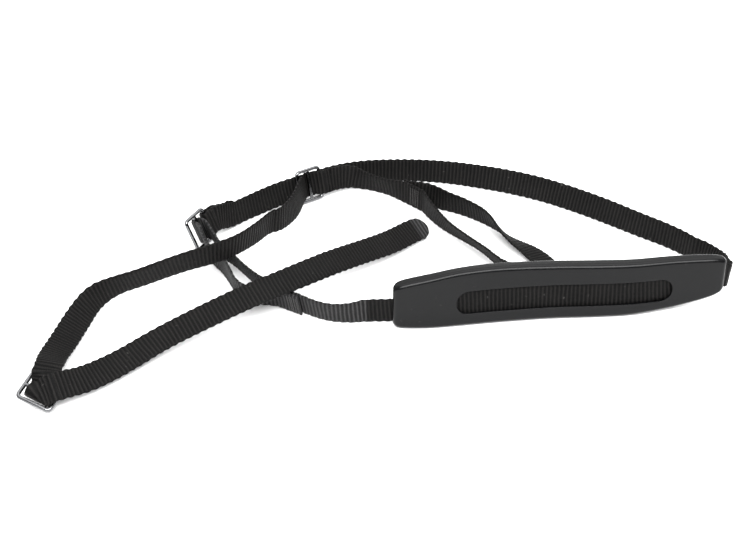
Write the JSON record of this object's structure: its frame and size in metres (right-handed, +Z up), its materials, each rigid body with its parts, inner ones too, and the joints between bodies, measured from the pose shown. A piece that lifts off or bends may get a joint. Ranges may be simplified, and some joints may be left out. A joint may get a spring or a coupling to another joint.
{
  "type": "saxophone neck strap",
  "caption": "Instrument neck strap: flat ribbed webbing run through a moulded neck pad with a long window, and adjusted by wire three-bar slides.",
  "frame": {"origin": "middle of the laid-out strap's outline at the height of the table it lies on", "axes": "+X along the laid-out strap from the lower slide's end to the pad's end, +Y away from the pad's front, +Z up from the table"},
  "size_m": [0.4104, 0.2462, 0.0354],
  "materials": {
    "moulded_pad": "satin, soft sheen on the front top edge",
    "webbing": "matte ribbed weave",
    "thread": "slightly glossy filament",
    "slide_metal": "polished plating"
  },
  "bodies": {
    "webbing": {"webbing_in_pad": "webbing", "webbing_right_turn": "webbing", "webbing_back": "webbing", "webbing_upper_left": "webbing", "upper_fold": "webbing", "upper_hem": "webbing", "legs_fold": "webbing", "leg_outer": "webbing", "leg_inner": "webbing", "webbing_to_pad": "webbing", "webbing_in_slide": "webbing", "webbing_front": "webbing", "loop_leg_narrow": "webbing", "loop_fold": "webbing", "loop_leg_wavy": "webbing", "webbing_middle": "webbing", "lower_fold": "webbing", "webbing_tail": "webbing", "tail_tip": "webbing", "stitching_pad_loop": "thread", "stitching_front_loop": "thread"},
    "pad": {"neck_pad": "moulded_pad"},
    "upper_slide": {"slide_upper": "slide_metal"},
    "middle_slide": {"slide_middle": "slide_metal"},
    "lower_slide": {"slide_lower": "slide_metal"}
  },
  "joints": [
    {"name": "pad_on_webbing", "type": "slide", "parent": "webbing", "child": "pad", "axis": [1, 0, 0], "range_m": [-0.012, 0.003], "deforming": ["webbing_in_pad", "webbing_to_pad", "webbing_right_turn"]},
    {"name": "middle_slide_on_webbing", "type": "slide", "parent": "webbing", "child": "middle_slide", "axis": [0.8449, 0.5349, 0], "range_m": [-0.006, 0.006], "deforming": ["webbing_in_slide", "webbing_front", "webbing_middle"]},
    {"name": "upper_slide_turn", "type": "hinge", "parent": "webbing", "child": "upper_slide", "pos_m": [-0.1206, 0.0415, 0.0124], "axis": [-0.3437, 0.1017, 0.9335], "range_deg": [-20, 20], "deforming": ["upper_fold", "legs_fold", "upper_hem", "webbing_upper_left", "leg_outer", "leg_inner"]},
    {"name": "lower_slide_turn", "type": "hinge", "parent": "webbing", "child": "lower_slide", "pos_m": [-0.1929, -0.1116, 0.0068], "axis": [-0.9027, 0.382, 0.198], "range_deg": [-12, 25], "deforming": ["lower_fold", "webbing_middle", "webbing_tail"]}
  ]
}
